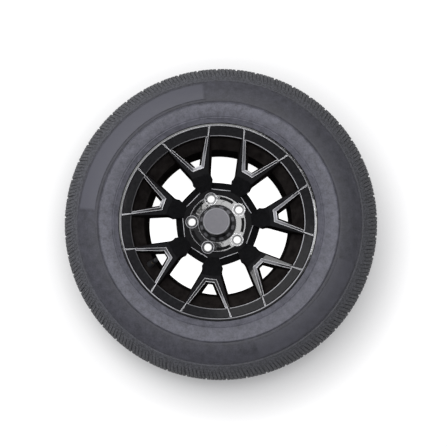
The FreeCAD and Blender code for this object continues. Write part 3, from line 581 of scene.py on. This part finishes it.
def add_piece(name, mesh, body, node, slot, *materials):
    """A piece that stands for a node of the frame."""
    piece = bpy.data.objects.new(name, mesh)
    SCENE.collection.objects.link(piece)
    for material in materials:
        mesh.materials.append(material)
    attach(piece, body)
    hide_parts(node)
    return piece


def curve_height(points, radius):
    """Height of a smooth curve through points at a radius."""
    last = len(points) - 2
    index = 0
    while index < last and radius > points[index + 1][0]:
        index += 1

    def slope(at):
        before = points[max(at - 1, 0)]
        after = points[min(at + 1, len(points) - 1)]
        return (after[1] - before[1]) / (after[0] - before[0])

    (x0, y0), (x1, y1) = points[index], points[index + 1]
    width = x1 - x0
    t = (radius - x0) / width
    return ((1 + 2 * t) * (1 - t) ** 2 * y0 + t * (1 - t) ** 2 * width * slope(index)
            + t * t * (3 - 2 * t) * y1 + t * t * (t - 1) * width * slope(index + 1))


def ring_height(radius):
    """How far the moulded rings stand out of the sidewall at a radius."""
    total = 0.0
    for middle, half, height in RINGS:
        away = abs(radius - middle) / half
        if away < 1:
            total += height * (0.5 + 0.5 * math.cos(math.pi * away))
    return total


def panel_height(radius, angle):
    """How far a raised panel stands out of the sidewall."""
    low, high = PANEL_RADII
    if not low < radius < high:
        return 0.0
    for middle, half, _ in PANEL_ARCS:
        if abs(math.remainder(angle - middle, 2 * math.pi)) < half:
            return PANEL_RISE
    return 0.0


def sidewall_rows(front):
    """Rows along the sidewall, closer together at the moulded rings and on the front."""
    start, height = SIDEWALL[0]
    count = FRONT_ROWS if front else BACK_ROWS
    spacing = (PANEL_RADII[1] - start) / count
    radii = {round(start + spacing * step, 2) for step in range(1, count)}
    places = FRONT_RING_ROWS if front else BACK_RING_ROWS
    for middle, half, _ in RINGS:
        radii.update(round(middle + half * place, 2) for place in places)
    if front:
        for edge in PANEL_RADII:
            radii.update((edge - PANEL_EDGE_HALF, edge + PANEL_EDGE_HALF))
    return [(start, height)] + [(r, curve_height(SIDEWALL, r) + ring_height(r)) for r in sorted(radii)]


def shoulder_rows():
    """The shoulder's round, from the last ring to the tread's edge."""
    (x0, y0), (x1, y1), (x2, y2) = SHOULDER
    rows = []
    for step in range(SHOULDER_ROWS):
        t = step / (SHOULDER_ROWS - 1)
        rows.append(((1 - t) ** 2 * x0 + 2 * t * (1 - t) * x1 + t * t * x2,
                     (1 - t) ** 2 * y0 + 2 * t * (1 - t) * y1 + t * t * y2))
    return rows


def shoulder_share(radius):
    """Place on the shoulder, from 0 at its foot to 1 at the tread's edge."""
    foot, edge = SHOULDER[0][0], SHOULDER[-1][0]
    return (radius - foot) / (edge - foot)


def crown(height):
    """Radius of the tread at a height."""
    return TYRE_R - TREAD_DROP * (abs(height) / TREAD_EDGE) ** 2


def tread_rows():
    """The tread's upper half, from its edge to the middle groove."""
    high = OUTER_GROOVE + GROOVE_HALF
    low = OUTER_GROOVE - GROOVE_HALF
    floor = crown(OUTER_GROOVE) - GROOVE_DEPTH
    rows = [(crown(height), height) for height in OUTER_RIB + (high,)]
    rows += [(floor, high - GROOVE_LEAN), (floor, low + GROOVE_LEAN)]
    rows += [(crown(height), height) for height in (low,) + INNER_RIB + (GROOVE_HALF,)]
    rows.append((TYRE_R - GROOVE_DEPTH, GROOVE_HALF - GROOVE_LEAN))
    return rows


def half_profile(front):
    """Half of the tyre's section as (radius, height, notch share, sipe share), with heights upward."""
    rows = [(r, z, 0.0, 0.0) for r, z in BEAD + sidewall_rows(front)]
    for r, z in shoulder_rows():
        rise = shoulder_share(r)
        notch = min(1.0, NOTCH_GROWTH * rise)
        sipe = min(1.0, max(0.0, SIPE_GROWTH * rise - SIPE_DELAY))
        rows.append((r, z, notch, sipe))
    for r, z in tread_rows():
        in_groove = r < crown(z) - GROOVE_DEPTH / 2
        notched = z > OUTER_GROOVE and not in_groove
        rows.append((r, z, 1.0 if notched else 0.0, 0.0 if in_groove else 1.0))
    return rows


def tyre_rows():
    """The tyre's closed section: front half, back half and lining."""
    upper = half_profile(True)
    lower = [(r, -z, notch, sipe) for r, z, notch, sipe in reversed(half_profile(False))]
    lining = [(r, -z) for r, z in LINING] + LINING[::-1]
    return upper + lower + [(r, z, 0.0, 0.0) for r, z in lining]


def tyre_columns():
    """Columns of one pitch as (share of the pitch, in the notch, in a sipe)."""
    notch_half = NOTCH_HALF / TYRE_R / NOTCH_PITCH
    sipe_half = SIPE_HALF / TYRE_R / NOTCH_PITCH
    mouth = NOTCH_MOUTH * notch_half
    floor = NOTCH_FLOOR * notch_half
    columns = [(-mouth, 0.0, 0.0), (-floor, 1.0, 0.0), (floor, 1.0, 0.0), (mouth, 0.0, 0.0)]
    for place in SIPES:
        columns += [(place - sipe_half, 0.0, 0.0), (place, 0.0, 1.0), (place + sipe_half, 0.0, 0.0)]
    return columns


def tyre_vertices(rows, columns):
    vertices = []
    for index, (r, z, notch, sipe) in enumerate(rows):
        before, after = rows[index - 1], rows[(index + 1) % len(rows)]
        run = Vector((after[0] - before[0], after[1] - before[1]))
        inward = Vector((run.y, -run.x)).normalized()
        slant = SLANT * max(0.0, shoulder_share(r)) if notch or sipe else 0.0
        for step in range(NOTCH_COUNT):
            for share, in_notch, in_sipe in columns:
                angle = (step + share) * NOTCH_PITCH + slant
                depth = NOTCH_DEPTH * notch * in_notch + SIPE_DEPTH * sipe * in_sipe
                if z > 0:
                    depth -= panel_height(r, angle)
                radius = (r + inward.x * depth) * MM
                height = (z + inward.y * depth) * MM
                vertices.append((radius * math.cos(angle), radius * math.sin(angle), height))
    return vertices


def ring_faces(count, around):
    """Faces of a closed section of some rows, swept round the axis in some columns."""
    faces = []
    for row in range(count):
        following = (row + 1) % count
        for column in range(around):
            beside = (column + 1) % around
            faces.append((row * around + column, row * around + beside,
                          following * around + beside, following * around + column))
    return faces


def tyre_mesh():
    """The tyre with its moulded rings, panels, notches, sipes and grooves."""
    rows = tyre_rows()
    columns = tyre_columns()
    mesh = bpy.data.meshes.new("tyre_moulding")
    mesh.from_pydata(tyre_vertices(rows, columns), [], ring_faces(len(rows), NOTCH_COUNT * len(columns)))
    mesh.validate()
    mesh.shade_smooth()
    mesh.set_sharp_from_angle(angle=TYRE_SHARP)
    return mesh


def within(value, limits):
    low, high = limits
    return low < value < high


def from_axis(middle):
    return math.hypot(middle.x, middle.y)


def bolt_distance(middle):
    """Distance of a place from the axis of the nearest bolt hole."""
    step = 2 * HALF_BOLT_STEP
    angle = BOLT_ANGLE + step * round((math.atan2(middle.y, middle.x) - BOLT_ANGLE) / step)
    bolt = (BOLT_CIRCLE_R * math.cos(angle), BOLT_CIRCLE_R * math.sin(angle))
    return math.dist((middle.x, middle.y), bolt)


def is_turned(middle, normal):
    """Whether a face of the wheel is a turned edge of the hub pad."""
    radius = from_axis(middle)
    on_edge = any(within(radius, limits) for limits in TURNED_RADII)
    return on_edge and within(middle.z, TURNED_HEIGHTS) and within(normal.z, TURNED_FACING)


def is_seat(middle, normal):
    """Whether a face of the wheel is the seat of a wheel bolt."""
    near = bolt_distance(middle) < SEAT_MOUTH_R + ROUND_SPARE
    return near and within(middle.z, SEAT_HEIGHTS) and within(normal.z, SEAT_FACING)


def is_rim(middle, normal):
    """Whether a face of the wheel is the rim's front inside the lip."""
    return within(from_axis(middle), RIM_RADII) and middle.z > BARREL_TOP and normal.z > WALL_FACING


def is_milled(middle, normal):
    """Whether a face of the wheel belongs to the milled edge round a fork window."""
    radius = from_axis(middle)
    placed = within(radius, MILLED_RADII) and within(middle.z, MILLED_HEIGHTS)
    if not (placed and within(normal.z, MILLED_FACING)):
        return False
    step = 2 * HALF_SPOKE_STEP
    angle = math.atan2(middle.y, middle.x) - SPOKE_ANGLE
    spoke = SPOKE_ANGLE + step * round(angle / step)
    local = Matrix.Rotation(-spoke, 3, "Z") @ normal
    if normal.z > FOOT_FACING:
        return radius < FOOT_R and local.x > FOOT_LEAN
    side = -1 if math.remainder(angle, step) > 0 else 1
    outward, sideways = FORK_SIDE
    lean = local.dot(Vector((outward, sideways * side, 0)))
    return lean > MILLED_LEAN or local.x > MILLED_LEAN


def is_low(middle, normal):
    """Whether a face of the wheel is a low part of the hub, beside the pad and the bolt bosses."""
    near = from_axis(middle) < HUB_R and normal.z > BACK_FACING
    return near and middle.z < PAD_TOP - PAD_STEP and bolt_distance(middle) > BOSS_R - ROUND_SPARE


def is_dull(middle, normal):
    """Whether a face of the wheel is a window's wall, or lies in the barrel or behind."""
    if middle.z > LIP_FOOT:
        return False
    radius = from_axis(middle)
    steepest = BACK_FACING if radius < PAD_REACH else WALL_FACING
    return normal.z < steepest or (radius > BARREL_R and middle.z < BARREL_TOP)


# Finishes in the order in which a face is tried for them, before gloss
FINISH_TESTS = ((SEAT, is_seat), (BARE, is_turned), (MILLED, is_milled), (LOW, is_low), (DULL, is_dull),
                (RIM, is_rim))


def face_finish(face):
    middle = face.calc_center_median() / MM
    for finish, suits in FINISH_TESTS:
        if suits(middle, face.normal):
            return finish
    return GLOSS


def wheel_mesh():
    """The casting's own form, with a finish for each kind of face and bright borders at milled edges."""
    form = bmesh.new()
    form.from_mesh(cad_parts["wheel"].data)
    bmesh.ops.remove_doubles(form, verts=form.verts, dist=WELD * MM)
    form.normal_update()
    for face in form.faces:
        face.material_index = face_finish(face)
    milled = [face for face in form.faces if face.material_index == MILLED]
    borders = bmesh.ops.inset_region(form, faces=milled, thickness=BORDER * MM, use_even_offset=True,
                                     use_boundary=True)
    for face in borders["faces"]:
        face.material_index = BARE
    form.verts.index_update()
    vertices = [vertex.co.copy() for vertex in form.verts]
    faces = [[vertex.index for vertex in face.verts] for face in form.faces]
    finishes = [face.material_index for face in form.faces]
    form.free()
    mesh = bpy.data.meshes.new("wheel_casting")
    mesh.from_pydata(vertices, [], faces)
    mesh.polygons.foreach_set("material_index", finishes)
    mesh.shade_smooth()
    mesh.set_sharp_from_angle(angle=WHEEL_SHARP)
    return mesh


def floor_paint():
    """Matt pale paint, with light of its own that only the camera and mirrors see: full under the wheel,
    where it paints out the shade, and gone near the tyre, which gives a painted shadow ring round it.
    """
    material, nodes = new_material("floor")
    ray = nodes.add("ShaderNodeLightPath").outputs
    seen = nodes.largest(ray["Is Camera Ray"], ray["Is Glossy Ray"], ray["Is Transmission Ray"])
    distance = nodes.add("ShaderNodeVectorMath", operation="LENGTH")
    nodes.put(distance.inputs[0], nodes.add("ShaderNodeNewGeometry").outputs["Position"])
    share = nodes.math("DIVIDE", distance.outputs["Value"], FLOOR_REACH)
    # Painted light under the wheel and painted shadow round the tyre
    painted_glow = nodes.ramp(share, [(reach / FLOOR_REACH, (painted_glow, painted_glow, painted_glow)) for reach, painted_glow in FLOOR_PAINTED_GLOW])
    glow = nodes.add("ShaderNodeEmission", {"Color": grey(1.0), "Strength": nodes.product(seen, painted_glow)})
    matt = nodes.add("ShaderNodeBsdfDiffuse", {"Color": grey(FLOOR_GREY)})
    both = nodes.add("ShaderNodeAddShader")
    nodes.put(both.inputs[0], glow.outputs[0])
    nodes.put(both.inputs[1], matt.outputs[0])
    nodes.add("ShaderNodeOutputMaterial", {"Surface": both.outputs[0]})
    return material


def add_floor():
    """A wide floor under the tyre."""
    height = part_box("tyre")[0].z
    sides = ((-1, -1), (1, -1), (1, 1), (-1, 1))
    mesh = bpy.data.meshes.new("floor")
    mesh.from_pydata([(x * FLOOR_HALF, y * FLOOR_HALF, height) for x, y in sides], [], [(0, 1, 2, 3)])
    mesh.materials.append(floor_paint())
    floor = bpy.data.objects.new("floor", mesh)
    SCENE.collection.objects.link(floor)


def add_light(name, place, size, power):
    """A square soft box that looks at the wheel's middle, in metres and watts."""
    lamp = bpy.data.lights.new(name, "AREA")
    lamp.shape = "SQUARE"
    lamp.size = size
    lamp.energy = power
    light = bpy.data.objects.new(name, lamp)
    light.location = place
    light.rotation_mode = "QUATERNION"
    light.rotation_quaternion = (-Vector(place)).to_track_quat("-Z", "Y")
    SCENE.collection.objects.link(light)


def add_world():
    """A studio that is bright low down, dark above and a little brighter straight up."""
    world = bpy.data.worlds.new("studio")
    SCENE.world = world
    world.use_nodes = True
    nodes = Nodes(world.node_tree)
    direction = nodes.add("ShaderNodeTexCoord").outputs["Generated"]
    upward = nodes.add("ShaderNodeSeparateXYZ", {"Vector": direction}).outputs["Z"]
    light = nodes.add("ShaderNodeBackground", {"Color": nodes.ramp(upward, SKY), "Strength": 1.0})
    nodes.add("ShaderNodeOutputWorld", {"Surface": light.outputs[0]})


def add_spring(finish):
    """The valve core's spring, as a piece with a mesh of its own. The real spring shortens towards its foot
    as the pin goes in.
    """
    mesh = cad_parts["core_spring"].data.copy()
    mesh.materials.clear()
    spring = add_piece("core_spring_coil", mesh, "root", "core_spring", "spring_steel", finish)
    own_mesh(spring)


def dress_nodes(steel):
    """Gives every node that stays its own finish."""
    brass = metal("valve_brass", dark=(0.5, 0.36, 0.14), light=(0.66, 0.5, 0.22), roughness=0.3)
    seal = plastic("core_seal_rubber", dark=(0.012, 0.012, 0.013), light=(0.03, 0.03, 0.03), roughness=0.5)
    body = plastic("valve_rubber", dark=(0.012, 0.012, 0.013), light=(0.022, 0.022, 0.024), roughness=0.6)
    cap = plastic("valve_cap_plastic", dark=(0.01, 0.01, 0.011), light=(0.02, 0.02, 0.022), roughness=0.42)
    finishes = {
        "centre_cap": cap_black(),
        "centre_cap_disc": cap_grey(),
        "cap_spring_ring": steel,
        "valve_body": body,
        "valve_stem": brass,
        "core_barrel": brass,
        "core_pin": brass,
        "core_cup": brass,
        "core_gasket": seal,
        "valve_cap": cap,
        "valve_cap_seal": seal,
    }
    for name, finish in finishes.items():
        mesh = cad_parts[name].data
        mesh.materials.clear()
        mesh.materials.append(finish)


add_camera()
add_floor()
add_world()
add_light("key", place=(-0.74, 0.98, 2.3), size=1.6, power=36)
add_light("pad_light", place=(0.2, 0.11, 1.5), size=0.5, power=9)
add_piece("tyre_moulding", tyre_mesh(), "root", "tyre", "tyre_rubber", rubber())
add_piece("wheel_casting", wheel_mesh(), "root", "wheel", "wheel_black",
          wheel_paint("gloss_black_paint", dark=0.006, light=0.014, roughness=0.05, shine=0.5),
          milled_metal(),
          satin_black(),
          wheel_paint("low_black_paint", dark=0.005, light=0.011, roughness=0.35, shine=0.02),
          bare_metal(),
          plastic("bolt_seat", dark=(0.26, 0.26, 0.27), light=(0.4, 0.4, 0.41), roughness=0.4),
          wheel_paint("rim_black_paint", dark=0.011, light=0.022, roughness=0.12, shine=0.07))
spring_steel = metal("spring_steel", dark=(0.35, 0.35, 0.36), light=(0.55, 0.55, 0.56), roughness=0.3)
add_spring(spring_steel)
dress_nodes(spring_steel)
